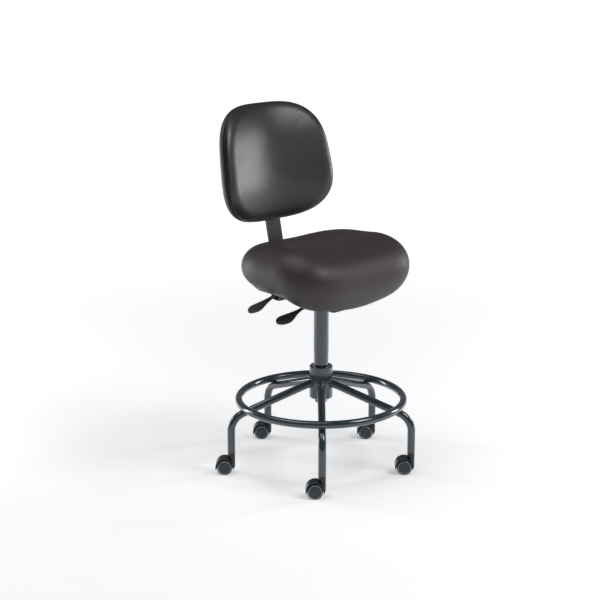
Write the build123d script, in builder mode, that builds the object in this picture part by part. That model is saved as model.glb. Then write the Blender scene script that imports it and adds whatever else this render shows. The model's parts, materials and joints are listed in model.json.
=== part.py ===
from build123d import *
import math
import os

# Drafting chair: five-legged tube base with a foot ring, gas column, tilting seat and adjustable back.
# Millimetres, +Z up, origin on the floor under the column axis, chair facing -Y.

# ---------------------------------------------------------------- driving dimensions
TUBE_R = 12.7
TUBE_BORE_R = 10.7
LEG_COUNT = 5
LEG_SPLAY_R = 310.0
LEG_ROOT_Z = 295.7
LEG_SLOPE = 0.35
LEG_BEND_R = 60.0
LEG_END_Z = 71.5
FIRST_LEG_DEG = -134.0
RING_R = 273.0
RING_Z = 227.3

HUB_R = 38.5
HUB_LOW_Z = 232.0
HUB_HIGH_Z = 342.0
COLUMN_R = 25.0
COLUMN_TOP_Z = 548.0
COLUMN_LOW_Z = 217.0
TAPER_TOP_Z = 400.0
TAPER_RISE = 0.0262
COLUMN_WALL = 2.0

ROD_R = 5.0
CYLINDER_R = 14.0
CYLINDER_LOW_Z = 236.0
CYLINDER_TOP_Z = 576.0
CYLINDER_WALL = 1.8
CONE_LOW_Z = 556.0
CONE_TOP_R = 13.2
RUNNING = 0.05
VALVE_R = 4.0
CLIP_Z = 213.4
CLIP_T = 2.0

WHEEL_R = 25.0
WHEEL_IN = 5.0
WHEEL_OUT = 23.5
CASTER_TRAIL = 22.0
CASTER_TRAIL_DEG = 136.0
STEM_R = 5.5
AXLE_R = 3.0
HOOD_R = 30.5
HOOD_WALL = 2.6
HOOD_HALF_WIDTH = 21.5

TILT_Y = -100.0
PIVOT_Z = 590.0
BACK_PIVOT_Y = 112.0
FRAME_HALF_X = 62.0
FRAME_LOW_Z = 553.0
FRAME_TOP_Z = 588.0
SHEET = 3.0
SHAFT_R = 6.0
BOLT_HEAD_R = 5.5
BOLT_HEAD_T = 4.0
LOCK_Y = 46.0
EAR_IN = 64.0
EAR_OUT = 68.0
BACK_EAR_IN = 70.5
BACK_EAR_OUT = 75.5

SEAT_W = 522.0
SEAT_D = 410.0
SEAT_Y = -9.0
SEAT_LOW_Z = 608.0
SEAT_TOP_Z = 738.0
SEAT_NOSE_LOW_Z = 570.0
BOARD_T = 10.0
BOARD_W = 368.0
BOARD_D = 250.0
BOARD_Y = 19.0
BOARD_CORNER_R = 60.0

BACK_W = 468.0
BACK_H = 389.0
BACK_Y = 264.0
BACK_Z = 989.6
BACK_LEAN = 9.1
BACK_WRAP_R = 422.0
BACK_POWER = 3.34
BACK_TAPER = 0.09
BOARD_FRONT = 12.0
BOARD_REAR = 7.0
CUSHION_FRONT = 40.0
SHELL_FRONT = -2.0
SHELL_REAR = -24.0
SHELL_WALL = 4.0

BAR_W = 62.0
BAR_T = 6.0
BAR_REF_Y = 217.0
BAR_REF_Z = 730.0
BAR_SLOPE = 0.217
BAR_TOP_Z = 1050.0
BAR_BEND_R = 40.0
BAR_UNDER_Z = PIVOT_Z - BAR_T / 2 - SHEET
CLAMP_Y = BACK_PIVOT_Y + 31

LEVER_W = 10.0
LEVER_T = 5.0
HEIGHT_LEVER_Y = -85.0
HEIGHT_LEVER_Z = 584.0
FULCRUM_X = -50.0
FULCRUM_R = 3.0
TILT_LEVER_Y = 50.0
TILT_LEVER_Z = 598.0
PADDLE_ROOT_X = -160.0
PADDLE_LENGTH = 118.0
PADDLE_T = 8.0
HEIGHT_PADDLE_HALF_W = 28.0
TILT_PADDLE_HALF_W = 23.0
HEIGHT_PADDLE_DROOP = 16.0
TILT_PADDLE_DROOP = 18.0
TILT_LEVER_PIVOT_X = -74.0
TILT_LEVER_PIN_R = 4.0

os.makedirs("parts", exist_ok=True)


def save(piece, label):
    """Label one finished piece and write it as its own STEP file."""
    piece.part.label = label
    export_step(piece.part, f"parts/{label}.step")


def polar(radius, degrees, z=0.0):
    """Point at a radius and compass angle about the column axis."""
    angle = math.radians(degrees)
    return Vector(radius * math.cos(angle), radius * math.sin(angle), z)


def radial_plane(degrees):
    """Vertical plane through the column axis: x outward along the angle, y up."""
    angle = math.radians(degrees)
    return Plane(
        origin=(0, 0, 0),
        x_dir=(math.cos(angle), math.sin(angle), 0),
        z_dir=(math.sin(angle), -math.cos(angle), 0),
    )


def superellipse(width, height, power, taper=0.0, count=40):
    """Points of a rounded outline; a positive taper narrows it toward +y."""
    points = []
    for step in range(count):
        angle = 2 * math.pi * step / count
        c = math.cos(angle)
        s = math.sin(angle)
        x = width / 2 * math.copysign(abs(c) ** (2 / power), c)
        y = height / 2 * math.copysign(abs(s) ** (2 / power), s)
        points.append((x * (1 - taper * y / (height / 2)), y))
    return points


def leg_centre_z(radius):
    return LEG_ROOT_Z - LEG_SLOPE * radius


def column_outer_r(z):
    return COLUMN_R - max(0.0, TAPER_TOP_Z - z) * TAPER_RISE


def fulcrum_z():
    return HEIGHT_LEVER_Z - LEVER_T / 2 - FULCRUM_R - RUNNING


LEG_ANGLES = [FIRST_LEG_DEG + 360 / LEG_COUNT * index for index in range(LEG_COUNT)]


# ---------------------------------------------------------------- base
def make_hub():
    """Turned sleeve that takes the column, with a recessed lip at its mouth."""
    edge = 3
    lip = 10
    recess = 6
    with BuildPart() as hub:
        with BuildSketch(Plane.XZ):
            with BuildLine():
                Polyline(
                    (column_outer_r(HUB_LOW_Z), HUB_LOW_Z),
                    (HUB_R - edge, HUB_LOW_Z),
                    (HUB_R, HUB_LOW_Z + edge),
                    (HUB_R, HUB_HIGH_Z - edge),
                    (HUB_R - edge, HUB_HIGH_Z),
                    (HUB_R - lip, HUB_HIGH_Z),
                    (HUB_R - lip, HUB_HIGH_Z - recess),
                    (column_outer_r(HUB_HIGH_Z - recess), HUB_HIGH_Z - recess),
                    close=True,
                )
            make_face()
        revolve(axis=Axis.Z)
    save(hub, "hub")


def make_leg(index, degrees):
    """Tube that slopes out of the hub and bends down to the caster."""
    root_r = HUB_R - 8
    with BuildPart() as leg:
        with BuildLine(radial_plane(degrees)) as route:
            FilletPolyline(
                (root_r, leg_centre_z(root_r)),
                (LEG_SPLAY_R, leg_centre_z(LEG_SPLAY_R)),
                (LEG_SPLAY_R, LEG_END_Z),
                radius=LEG_BEND_R,
            )
        with BuildSketch(Plane(origin=route.line @ 0, z_dir=route.line % 0)):
            Circle(TUBE_R)
            Circle(TUBE_BORE_R, mode=Mode.SUBTRACT)
        sweep(path=route.wire())
        with Locations((0, 0, LEG_ROOT_Z)):
            Cylinder(HUB_R, HUB_HIGH_Z - HUB_LOW_Z, mode=Mode.SUBTRACT)
    save(leg, f"leg_{index}")


def make_foot_ring():
    """Hollow ring that rests on the five legs."""
    with BuildPart() as foot_ring:
        with BuildSketch(Plane.XZ):
            with Locations((RING_R, RING_Z)):
                Circle(TUBE_R)
                Circle(TUBE_BORE_R, mode=Mode.SUBTRACT)
        revolve(axis=Axis.Z)
    save(foot_ring, "foot_ring")


def make_caster_sockets():
    """Sleeves pressed in the leg ends, one for each caster stem."""
    flange = 1.5
    depth = 34
    low_z = LEG_END_Z - flange
    spots = [polar(LEG_SPLAY_R, degrees) for degrees in LEG_ANGLES]
    with BuildPart() as caster_sockets:
        with BuildSketch(Plane.XY.offset(low_z)):
            with Locations(*spots):
                Circle(TUBE_R)
        extrude(amount=flange)
        with BuildSketch(Plane.XY.offset(LEG_END_Z)):
            with Locations(*spots):
                Circle(TUBE_BORE_R)
        extrude(amount=depth)
        with BuildSketch(Plane.XY.offset(low_z)):
            with Locations(*spots):
                Circle(STEM_R + RUNNING)
        extrude(amount=depth + 2 * flange, mode=Mode.SUBTRACT)
    save(caster_sockets, "caster_sockets")


def make_column_tube():
    """Outer tube, tapering into the hub and closed at its foot by a thick end."""
    taper_low_r = column_outer_r(HUB_LOW_Z)
    inner_low_r = taper_low_r - COLUMN_WALL
    foot_r = 20
    foot_bore_r = 17
    foot_t = 6
    rod_hole_r = ROD_R + 0.1
    with BuildPart() as column_tube:
        with BuildSketch(Plane.XZ):
            with BuildLine():
                Polyline(
                    (rod_hole_r, COLUMN_LOW_Z),
                    (foot_r, COLUMN_LOW_Z),
                    (foot_r, HUB_LOW_Z),
                    (taper_low_r, HUB_LOW_Z),
                    (COLUMN_R, TAPER_TOP_Z),
                    (COLUMN_R, COLUMN_TOP_Z),
                    (COLUMN_R - COLUMN_WALL, COLUMN_TOP_Z),
                    (COLUMN_R - COLUMN_WALL, TAPER_TOP_Z),
                    (inner_low_r, HUB_LOW_Z),
                    (foot_bore_r, HUB_LOW_Z - 4),
                    (foot_bore_r, COLUMN_LOW_Z + foot_t),
                    (rod_hole_r, COLUMN_LOW_Z + foot_t),
                    close=True,
                )
            make_face()
        revolve(axis=Axis.Z)
    save(column_tube, "column_tube")


def make_guide_bushing():
    """Plastic guide in the column's mouth, with a flange on its rim."""
    depth = 78
    flange = 2
    with BuildPart() as guide_bushing:
        with BuildSketch(Plane.XY.offset(COLUMN_TOP_Z - depth)):
            Circle(COLUMN_R - COLUMN_WALL)
        extrude(amount=depth)
        with BuildSketch(Plane.XY.offset(COLUMN_TOP_Z)):
            Circle(COLUMN_R)
        extrude(amount=flange)
        with BuildSketch(Plane.XY.offset(COLUMN_TOP_Z - depth)):
            Circle(CYLINDER_R + RUNNING)
        extrude(amount=depth + flange, mode=Mode.SUBTRACT)
    save(guide_bushing, "guide_bushing")


def make_thrust_bearing():
    """Two washers with a ring of balls between them, on the column's closed end."""
    floor_z = COLUMN_LOW_Z + 6
    washer_t = 1.2
    ball_r = 2
    ball_count = 12
    with BuildPart() as thrust_bearing:
        for low in (floor_z, floor_z + washer_t + 2 * ball_r):
            with BuildSketch(Plane.XY.offset(low)):
                Circle(13)
                Circle(ROD_R + 0.3, mode=Mode.SUBTRACT)
            extrude(amount=washer_t)
        with PolarLocations(9.5, ball_count):
            with Locations((0, 0, floor_z + washer_t + ball_r)):
                Sphere(ball_r)
    save(thrust_bearing, "thrust_bearing")


# ---------------------------------------------------------------- gas spring inside the column
def make_piston_rod():
    """Rod clipped under the column's foot, with a collar on the bearing and a piston at its top."""
    foot_z = CLIP_Z - 2.4
    groove_r = ROD_R - 1
    collar_r = 9
    collar_z = COLUMN_LOW_Z + 12.5
    collar_t = 3
    piston_r = 12.1
    piston_z = 440
    piston_t = 10
    with BuildPart() as piston_rod:
        with BuildSketch(Plane.XZ):
            with BuildLine():
                Polyline(
                    (0, foot_z),
                    (ROD_R, foot_z),
                    (ROD_R, CLIP_Z),
                    (groove_r, CLIP_Z),
                    (groove_r, CLIP_Z + CLIP_T),
                    (ROD_R, CLIP_Z + CLIP_T),
                    (ROD_R, collar_z),
                    (collar_r, collar_z),
                    (collar_r, collar_z + collar_t),
                    (ROD_R, collar_z + collar_t),
                    (ROD_R, piston_z),
                    (piston_r, piston_z),
                    (piston_r, piston_z + piston_t),
                    (0, piston_z + piston_t),
                    close=True,
                )
            make_face()
        revolve(axis=Axis.Z)
    save(piston_rod, "piston_rod")


def make_retaining_clip():
    """Spring clip in the rod's groove, open on one side."""
    outer_r = 9
    with BuildPart() as retaining_clip:
        with BuildSketch(Plane.XY.offset(CLIP_Z)):
            Circle(outer_r)
            Circle(ROD_R - 1, mode=Mode.SUBTRACT)
            with Locations((outer_r - 3, 0)):
                Rectangle(8, 5, mode=Mode.SUBTRACT)
        extrude(amount=CLIP_T)
    save(retaining_clip, "retaining_clip")


def make_gas_cylinder():
    """Pressure tube with a closed seal end below and a taper for the seat's socket above."""
    bore_r = CYLINDER_R - CYLINDER_WALL
    rod_hole_r = ROD_R + RUNNING
    valve_hole_r = VALVE_R + RUNNING
    seal = 12
    with BuildPart() as gas_cylinder:
        with BuildSketch(Plane.XZ):
            with BuildLine():
                Polyline(
                    (rod_hole_r, CYLINDER_LOW_Z),
                    (CYLINDER_R - 1, CYLINDER_LOW_Z),
                    (CYLINDER_R, CYLINDER_LOW_Z + 1),
                    (CYLINDER_R, CONE_LOW_Z),
                    (CONE_TOP_R, CYLINDER_TOP_Z),
                    (valve_hole_r, CYLINDER_TOP_Z),
                    (valve_hole_r, CONE_LOW_Z),
                    (bore_r, CONE_LOW_Z),
                    (bore_r, CYLINDER_LOW_Z + seal),
                    (rod_hole_r, CYLINDER_LOW_Z + seal),
                    close=True,
                )
            make_face()
        revolve(axis=Axis.Z)
    save(gas_cylinder, "gas_cylinder")


def make_valve_button():
    """Pin in the cylinder's top that the height lever presses."""
    low_z = CONE_LOW_Z + 6
    top_z = HEIGHT_LEVER_Z - LEVER_T / 2 - 0.1
    with BuildPart() as valve_button:
        with BuildSketch(Plane.XY.offset(low_z)):
            Circle(VALVE_R)
        extrude(amount=top_z - low_z)
        fillet(valve_button.edges().sort_by(Axis.Z)[-1], 0.8)
    save(valve_button, "valve_button")


# ---------------------------------------------------------------- control under the seat
def make_control_frame():
    """Pressed channel that carries the column socket and the seat's tilt shaft."""
    low_y = -118
    high_y = 75
    corner_r = 6
    wall_x = FRAME_HALF_X - SHEET / 2
    floor_z = FRAME_LOW_Z + SHEET
    tab_top_z = HEIGHT_LEVER_Z - LEVER_T / 2 - 1
    with BuildPart() as control_frame:
        with BuildSketch(Plane.XY.offset(FRAME_LOW_Z)):
            with Locations((0, (low_y + high_y) / 2)):
                RectangleRounded(2 * FRAME_HALF_X, high_y - low_y, corner_r)
        extrude(amount=SHEET)
        for side in (-1, 1):
            with BuildSketch(Plane.YZ.offset(side * wall_x)):
                with BuildLine():
                    Polyline(
                        (low_y + corner_r, FRAME_LOW_Z),
                        (low_y + corner_r, PIVOT_Z + 2),
                        (TILT_Y - 6, PIVOT_Z + 10),
                        (TILT_Y + 8, PIVOT_Z + 10),
                        (TILT_Y + 40, FRAME_TOP_Z - 1),
                        (high_y - corner_r, FRAME_TOP_Z - 12),
                        (high_y - corner_r, FRAME_LOW_Z),
                        close=True,
                    )
                make_face()
            extrude(amount=SHEET / 2, both=True)
        with BuildSketch(Plane.XY.offset(FRAME_LOW_Z)):
            Circle(CYLINDER_R + 0.5)
        extrude(amount=SHEET, mode=Mode.SUBTRACT)
        with BuildSketch(Plane.YZ):
            with Locations((TILT_Y, PIVOT_Z)):
                Circle(SHAFT_R)
        extrude(amount=80, both=True, mode=Mode.SUBTRACT)
        with Locations((-FRAME_HALF_X, -54, HEIGHT_LEVER_Z)):
            Box(10, 36, 18, mode=Mode.SUBTRACT)
        for y in (-28, -64):
            with Locations((FULCRUM_X, y, (floor_z + tab_top_z) / 2)):
                Box(12, SHEET, tab_top_z - floor_z)
        with BuildSketch(Plane.XZ):
            with Locations((FULCRUM_X, fulcrum_z())):
                Circle(FULCRUM_R)
        extrude(amount=-90, both=True, mode=Mode.SUBTRACT)
    save(control_frame, "control_frame")


def make_taper_socket():
    """Flanged cone on the frame that the gas cylinder's taper jams in."""
    flange_r = 24
    body_r = 20
    with BuildPart() as taper_socket:
        with BuildSketch(Plane.XZ):
            with BuildLine():
                Polyline(
                    (CYLINDER_R, CONE_LOW_Z),
                    (flange_r, CONE_LOW_Z),
                    (flange_r, CONE_LOW_Z + 3),
                    (body_r, CONE_LOW_Z + 6),
                    (body_r, CYLINDER_TOP_Z - 1),
                    (CONE_TOP_R, CYLINDER_TOP_Z - 1),
                    close=True,
                )
            make_face()
        revolve(axis=Axis.Z)
        with BuildSketch(Plane.XZ):
            with BuildLine():
                Polyline(
                    (0, CONE_LOW_Z),
                    (CYLINDER_R, CONE_LOW_Z),
                    (CONE_TOP_R, CYLINDER_TOP_Z),
                    (0, CYLINDER_TOP_Z),
                    close=True,
                )
            make_face()
        revolve(axis=Axis.Z, mode=Mode.SUBTRACT)
    save(taper_socket, "taper_socket")


def make_control_shafts():
    """Tilt shaft through the frame and the short pin that the height lever rocks on."""
    with BuildPart() as control_shafts:
        with BuildSketch(Plane.YZ.offset(-EAR_OUT - 2)):
            with Locations((TILT_Y, PIVOT_Z)):
                Circle(SHAFT_R)
        extrude(amount=2 * EAR_OUT + 4)
        for side in (-1, 1):
            with Locations((side * (EAR_OUT + 1.5), TILT_Y, PIVOT_Z)):
                Cylinder(8, 2.4, rotation=(0, 90, 0))
        with BuildSketch(Plane.XZ.offset(24)):
            with Locations((FULCRUM_X, fulcrum_z())):
                Circle(FULCRUM_R)
        extrude(amount=44)
    save(control_shafts, "control_shafts")


def make_tilt_springs():
    """Two coil springs that hold the seat up at the back of the control."""
    wire_r = 1.5
    coil_x = 40
    coil_y = 48
    with BuildPart() as tilt_springs:
        for side in (-1, 1):
            with BuildLine(Plane((side * coil_x, coil_y, FRAME_LOW_Z + SHEET + wire_r + 0.1))) as coil:
                Helix(pitch=7.6, height=43.4, radius=11)
            with BuildSketch(Plane(origin=coil.line @ 0, z_dir=coil.line % 0)):
                Circle(wire_r)
            sweep(path=coil.wire(), is_frenet=True)
    save(tilt_springs, "tilt_springs")


def make_clamp_plates():
    """Fixed friction plates of the tilt lock, standing on the frame."""
    floor_z = FRAME_LOW_Z + SHEET
    top_z = 586
    base_t = 6
    with BuildPart() as clamp_plates:
        for x in (-16, -8, 0):
            with Locations((x, LOCK_Y, (floor_z + top_z) / 2)):
                Box(SHEET, 34, top_z - floor_z)
        with Locations((-8, LOCK_Y, floor_z + base_t / 2)):
            Box(19, 34, base_t)
    save(clamp_plates, "clamp_plates")


def make_paddle(half_w, droop, arm_z, y):
    """Flat spoon-shaped grip that hangs down and outward from its arm."""
    angle = math.radians(droop)
    plane = Plane(
        origin=(PADDLE_ROOT_X, y, arm_z),
        x_dir=(-math.cos(angle), 0, -math.sin(angle)),
        z_dir=(-math.sin(angle), 0, math.cos(angle)),
    )
    neck_w = 7
    throat_x = 34
    blade_x = 68
    broad_x = PADDLE_LENGTH - 24
    with BuildPart() as grip:
        with BuildSketch(plane):
            with BuildLine():
                Spline(
                    (0, neck_w),
                    (throat_x, neck_w + 1.5),
                    (blade_x, half_w * 0.8),
                    (broad_x, half_w),
                    (PADDLE_LENGTH, 0),
                    (broad_x, -half_w),
                    (blade_x, -half_w * 0.8),
                    (throat_x, -neck_w - 1.5),
                    (0, -neck_w),
                )
                Line((0, -neck_w), (0, neck_w))
            make_face()
        extrude(amount=PADDLE_T / 2, both=True)
        rims = grip.faces().sort_by(Axis(plane.origin, plane.z_dir))
        fillet(rims[-1].edges() + rims[0].edges(), 2.6)
        with Locations((PADDLE_ROOT_X + 5, y, arm_z)):
            Box(26, LEVER_W + 5, LEVER_T + 4)
        with Locations((PADDLE_ROOT_X + 20, y, arm_z)):
            Box(40, LEVER_W, LEVER_T, mode=Mode.SUBTRACT)
    return grip


def make_height_lever():
    """Cranked arm from the valve to the front paddle."""
    with BuildPart() as height_lever_arm:
        with BuildLine(Plane.XY.offset(HEIGHT_LEVER_Z)) as route:
            FilletPolyline(
                (4, 0),
                (-30, 0),
                (-80, HEIGHT_LEVER_Y),
                (PADDLE_ROOT_X, HEIGHT_LEVER_Y),
                radius=14,
            )
        with BuildSketch(Plane(origin=route.line @ 0, x_dir=(0, 1, 0), z_dir=route.line % 0)):
            Rectangle(LEVER_W, LEVER_T)
        sweep(path=route.wire())
    save(height_lever_arm, "height_lever_arm")
    paddle = make_paddle(HEIGHT_PADDLE_HALF_W, HEIGHT_PADDLE_DROOP, HEIGHT_LEVER_Z, HEIGHT_LEVER_Y)
    save(paddle, "height_lever_paddle")


def make_tilt_lever():
    """Straight arm through the seat plate's ear, with its pivot pin and the rear paddle."""
    inner_x = -56
    with BuildPart() as tilt_lever_arm:
        with Locations(((PADDLE_ROOT_X + inner_x) / 2, TILT_LEVER_Y, TILT_LEVER_Z)):
            Box(inner_x - PADDLE_ROOT_X, LEVER_W, LEVER_T)
        with Locations((TILT_LEVER_PIVOT_X, TILT_LEVER_Y, TILT_LEVER_Z)):
            Cylinder(TILT_LEVER_PIN_R, LEVER_W + 6, rotation=(90, 0, 0))
    save(tilt_lever_arm, "tilt_lever_arm")
    paddle = make_paddle(TILT_PADDLE_HALF_W, TILT_PADDLE_DROOP, TILT_LEVER_Z, TILT_LEVER_Y)
    save(paddle, "tilt_lever_paddle")


# ---------------------------------------------------------------- seat
def make_seat_plate():
    """Steel carrier under the seat board, with ears for both pivot shafts."""
    under_z = SEAT_LOW_Z - SHEET
    ear_low_z = PIVOT_Z - 10
    low_y = -120
    high_y = 128
    with BuildPart() as seat_plate:
        with BuildSketch(Plane.XY.offset(under_z)):
            with Locations((0, (low_y + high_y) / 2)):
                RectangleRounded(176, high_y - low_y, 12)
        extrude(amount=SHEET)
        for side in (-1, 1):
            with BuildSketch(Plane.YZ.offset(side * (EAR_IN + EAR_OUT) / 2)):
                with BuildLine():
                    Polyline(
                        (TILT_Y - 22, under_z),
                        (TILT_Y - 11, ear_low_z),
                        (TILT_Y + 11, ear_low_z),
                        (TILT_Y + 30, under_z - 6),
                        (BACK_PIVOT_Y - 24, under_z - 6),
                        (BACK_PIVOT_Y - 11, ear_low_z),
                        (BACK_PIVOT_Y + 11, ear_low_z),
                        (BACK_PIVOT_Y + 14, under_z),
                        close=True,
                    )
                make_face()
            extrude(amount=(EAR_OUT - EAR_IN) / 2, both=True)
        with BuildSketch(Plane.YZ):
            with Locations((TILT_Y, PIVOT_Z)):
                Circle(SHAFT_R + RUNNING)
        extrude(amount=90, both=True, mode=Mode.SUBTRACT)
        with BuildSketch(Plane.YZ):
            with Locations((BACK_PIVOT_Y, PIVOT_Z)):
                Circle(SHAFT_R)
        extrude(amount=90, both=True, mode=Mode.SUBTRACT)
        with Locations((-EAR_OUT, TILT_LEVER_Y, TILT_LEVER_Z)):
            Box(20, LEVER_W + 4, LEVER_T + 7, mode=Mode.SUBTRACT)
    save(seat_plate, "seat_plate")


def make_lock_plates():
    """Moving friction plates that hang from the seat plate between the fixed ones."""
    low_z = 578
    top_z = SEAT_LOW_Z - SHEET
    with BuildPart() as lock_plates:
        for x in (-12, -4):
            with Locations((x, LOCK_Y, (low_z + top_z) / 2)):
                Box(3.6, 26, top_z - low_z)
    save(lock_plates, "lock_plates")


def make_back_shaft():
    with BuildPart() as back_shaft:
        with BuildSketch(Plane.YZ.offset(-BACK_EAR_OUT - 2)):
            with Locations((BACK_PIVOT_Y, PIVOT_Z)):
                Circle(SHAFT_R)
        extrude(amount=2 * BACK_EAR_OUT + 4)
    save(back_shaft, "back_shaft")


def make_control_cover():
    """Rounded cap on the seat plate's side, over the tilt lever's root."""
    outer_x = -154
    low_y = 26
    high_y = 74
    top_z = 604
    with BuildPart() as control_cover:
        with BuildSketch(Plane.YZ.offset(outer_x)):
            with BuildLine():
                Polyline(
                    (low_y, top_z),
                    (high_y, top_z),
                    (high_y, top_z - 12),
                    (high_y - 10, top_z - 24),
                    (low_y + 10, top_z - 24),
                    (low_y, top_z - 12),
                    close=True,
                )
            make_face()
        extrude(amount=66)
        fillet(control_cover.edges().filter_by(Axis.X), 3)
        with Locations((-124, TILT_LEVER_Y, TILT_LEVER_Z)):
            Box(80, LEVER_W + 8, 28, mode=Mode.SUBTRACT)
    save(control_cover, "control_cover")


def make_seat_board():
    """Plywood board that the cushion is built on."""
    with BuildPart() as seat_board:
        with BuildSketch(Plane.XY.offset(SEAT_LOW_Z)):
            with Locations((0, BOARD_Y)):
                RectangleRounded(BOARD_W, BOARD_D, BOARD_CORNER_R)
        extrude(amount=BOARD_T)
    save(seat_board, "seat_board")


def make_seat_cushion():
    """Cushion with a rounded lobe below its front edge and a recess for the board."""
    corner_r = 125
    top_round_r = 58
    low_round_r = 56
    lobe_w = 430
    lobe_depth = 80
    lobe_h = 72
    lobe_y = SEAT_Y - SEAT_D / 2 + 8 + lobe_depth / 2
    gap = 0.5
    with BuildPart() as body:
        with BuildSketch(Plane.XY.offset(SEAT_LOW_Z)):
            with Locations((0, SEAT_Y)):
                RectangleRounded(SEAT_W, SEAT_D, corner_r)
        extrude(amount=SEAT_TOP_Z - SEAT_LOW_Z)
        fillet(body.faces().sort_by(Axis.Z)[-1].edges(), top_round_r)
        fillet(body.faces().sort_by(Axis.Z)[0].edges(), low_round_r)
    with BuildPart() as front_lobe:
        with BuildSketch(Plane.XY.offset(SEAT_NOSE_LOW_Z)):
            with Locations((0, lobe_y)):
                RectangleRounded(lobe_w, lobe_depth, lobe_depth / 2 - 1)
        extrude(amount=lobe_h)
        fillet(front_lobe.faces().sort_by(Axis.Z)[0].edges(), 34)
    with BuildPart() as cushion:
        add(body.part)
        add(front_lobe.part)
        with BuildSketch(Plane.XY.offset(SEAT_LOW_Z - 1)):
            with Locations((0, BOARD_Y)):
                RectangleRounded(BOARD_W + 2 * gap, BOARD_D + 2 * gap, BOARD_CORNER_R + gap)
        extrude(amount=1 + BOARD_T + gap, mode=Mode.SUBTRACT)
    save(cushion, "seat_cushion")


def make_seat_bolts():
    """Four bolts through the seat plate into the board."""
    spots = [(x, y) for x in (-76, 76) for y in (-112, 116)]
    with BuildPart() as seat_bolts:
        with BuildSketch(Plane.XY.offset(SEAT_LOW_Z - SHEET - BOLT_HEAD_T)):
            with Locations(*spots):
                RegularPolygon(BOLT_HEAD_R, 6)
        extrude(amount=BOLT_HEAD_T)
    save(seat_bolts, "seat_bolts")


# ---------------------------------------------------------------- back
def bar_y(z):
    return BAR_REF_Y + BAR_SLOPE * (z - BAR_REF_Z)


def bar_plane(z):
    """Plane across the upright at a height; its y axis is the bar's thickness."""
    length = math.hypot(1, BAR_SLOPE)
    return Plane(
        origin=(0, bar_y(z), z),
        x_dir=(1, 0, 0),
        z_dir=(0, BAR_SLOPE / length, 1 / length),
    )


LEAN = math.radians(BACK_LEAN)
BACK_FACE = Plane(
    origin=(0, BACK_Y, BACK_Z),
    x_dir=(1, 0, 0),
    z_dir=(0, -math.cos(LEAN), math.sin(LEAN)),
)
BACK_SECTION = Plane(
    origin=(0, BACK_Y, BACK_Z),
    x_dir=(1, 0, 0),
    z_dir=(0, math.sin(LEAN), math.cos(LEAN)),
)


def wrapped_slab(inset, front, rear):
    """Slab curved around the sitter; front and rear are offsets toward the sitter at its middle."""
    points = superellipse(BACK_W - 2 * inset, BACK_H - 2 * inset, BACK_POWER, BACK_TAPER)
    with BuildPart() as slab:
        with BuildSketch(BACK_SECTION):
            with Locations((0, -BACK_WRAP_R)):
                Circle(BACK_WRAP_R - rear)
                Circle(BACK_WRAP_R - front, mode=Mode.SUBTRACT)
        extrude(amount=BACK_H, both=True)
        with BuildSketch(BACK_FACE):
            with BuildLine():
                Spline(*points, periodic=True)
            make_face()
        extrude(amount=160, both=True, mode=Mode.INTERSECT)
        with Locations(BACK_FACE.offset(BACK_WRAP_R + 200)):
            Box(2 * BACK_W, 2 * BACK_H, 400, mode=Mode.SUBTRACT)
    return slab.part


def bar_slot(half_width, front, rear, low, high):
    """Cutter for the space that the upright slides through, in the backrest's own frame."""
    with BuildPart() as slot:
        with BuildSketch(BACK_FACE.offset(rear)):
            with Locations((0, (low + high) / 2)):
                Rectangle(2 * half_width, high - low)
        extrude(amount=front - rear)
    return slot.part


def make_back_bracket():
    """Folded bracket that joins the back shaft to the upright."""
    arm_top_z = PIVOT_Z + BAR_T / 2 - 0.5
    arm_end_y = BACK_PIVOT_Y + 44
    with BuildPart() as back_bracket:
        for side in (-1, 1):
            with BuildSketch(Plane.YZ.offset(side * (BACK_EAR_IN + BACK_EAR_OUT) / 2)):
                with BuildLine():
                    Polyline(
                        (BACK_PIVOT_Y - 11, PIVOT_Z - 10),
                        (BACK_PIVOT_Y - 11, PIVOT_Z + 9),
                        (BACK_PIVOT_Y + 11, PIVOT_Z + 9),
                        (arm_end_y, arm_top_z),
                        (arm_end_y, BAR_UNDER_Z),
                        (BACK_PIVOT_Y - 4, BAR_UNDER_Z),
                        close=True,
                    )
                make_face()
            extrude(amount=(BACK_EAR_OUT - BACK_EAR_IN) / 2, both=True)
        with BuildSketch(Plane.XY.offset(BAR_UNDER_Z - SHEET)):
            with Locations((0, CLAMP_Y)):
                Rectangle(2 * BACK_EAR_OUT, 26)
        extrude(amount=SHEET)
        with BuildSketch(Plane.YZ):
            with Locations((BACK_PIVOT_Y, PIVOT_Z)):
                Circle(SHAFT_R + RUNNING)
        extrude(amount=90, both=True, mode=Mode.SUBTRACT)
    save(back_bracket, "back_bracket")


def make_back_upright():
    """Flat bar: along under the seat, then up behind it to the backrest."""
    centre_z = BAR_UNDER_Z + BAR_T / 2
    with BuildPart() as back_upright:
        with BuildLine(Plane.YZ) as route:
            FilletPolyline(
                (BACK_PIVOT_Y + 12, centre_z),
                (bar_y(centre_z), centre_z),
                (bar_y(BAR_TOP_Z), BAR_TOP_Z),
                radius=BAR_BEND_R,
            )
        with BuildSketch(Plane(origin=route.line @ 0, x_dir=(1, 0, 0), z_dir=route.line % 0)):
            Rectangle(BAR_W, BAR_T)
        sweep(path=route.wire())
    save(back_upright, "back_upright")


def make_bracket_bolts():
    """Two bolts up through the bracket into the upright."""
    with BuildPart() as bracket_bolts:
        with BuildSketch(Plane.XY.offset(BAR_UNDER_Z - SHEET - BOLT_HEAD_T)):
            with Locations((-14, CLAMP_Y), (14, CLAMP_Y)):
                RegularPolygon(BOLT_HEAD_R, 6)
        extrude(amount=BOLT_HEAD_T)
    save(bracket_bolts, "bracket_bolts")


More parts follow.
